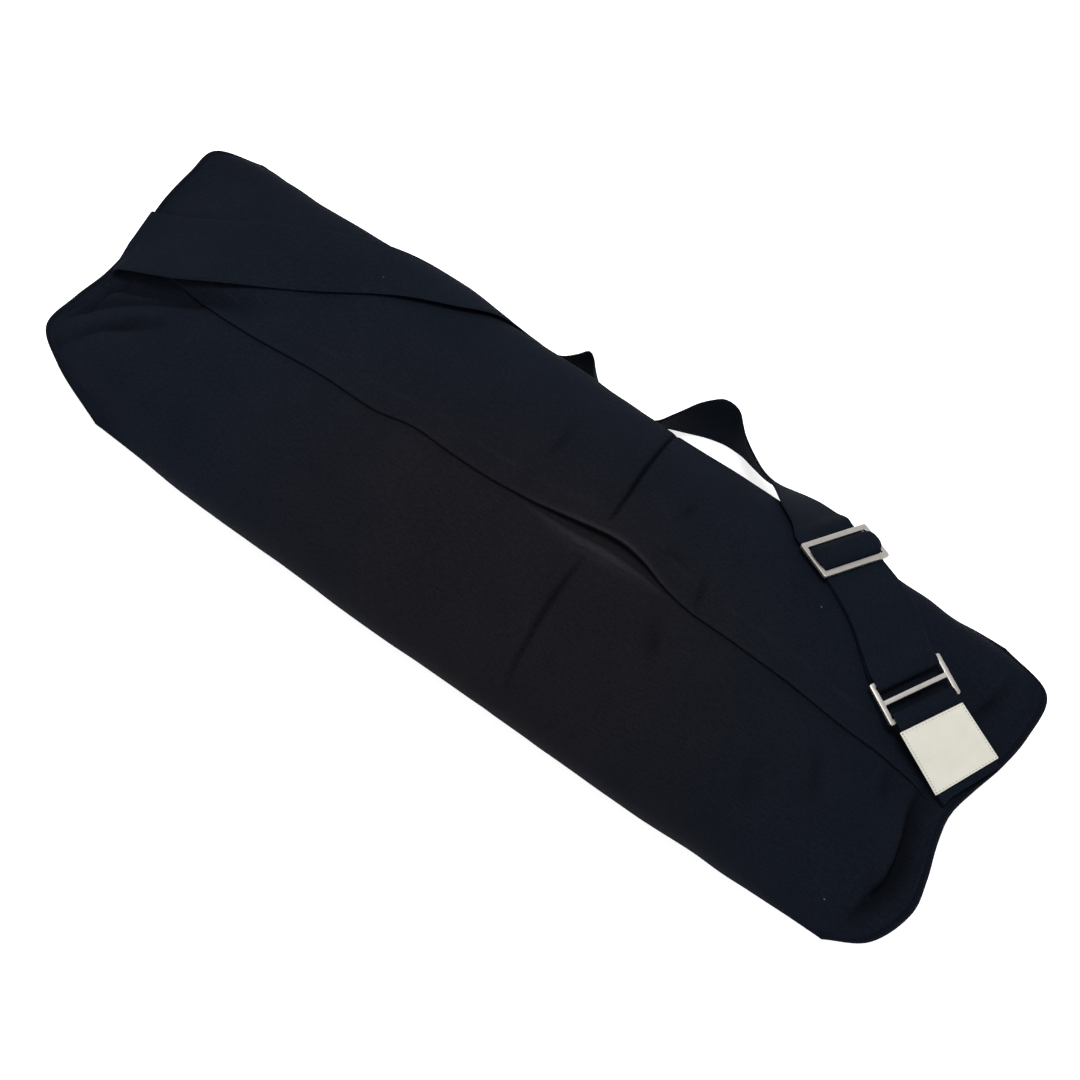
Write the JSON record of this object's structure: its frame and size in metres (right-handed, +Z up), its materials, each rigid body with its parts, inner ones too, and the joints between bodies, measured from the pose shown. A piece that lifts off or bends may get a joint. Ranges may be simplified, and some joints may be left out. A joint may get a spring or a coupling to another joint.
{
  "type": "yoga tote bag",
  "caption": "Soft dark cotton mat bag lying flat, with sewn ends, a lapped slit along the top, a bare patch and a shoulder strap run through metal three-bar slides.",
  "frame": {"origin": "middle of the flat underside, on the floor", "axes": "+X along the bag to the label end, +Y to the side the strap falls on, +Z up"},
  "size_m": [0.6931, 0.2718, 0.1035],
  "materials": {
    "cotton_body": "matte fine weave",
    "cotton_strap": "matte fine weave",
    "nickel": "satin nickel",
    "cream_cloth": "matte woven patch"
  },
  "bodies": {
    "root": {"bag_body": "cotton_body", "shoulder_strap": "cotton_strap", "strap_slider": "nickel", "strap_ring": "nickel", "ring_tab": "cotton_strap", "label_patch": "cream_cloth"}
  },
  "joints": []
}
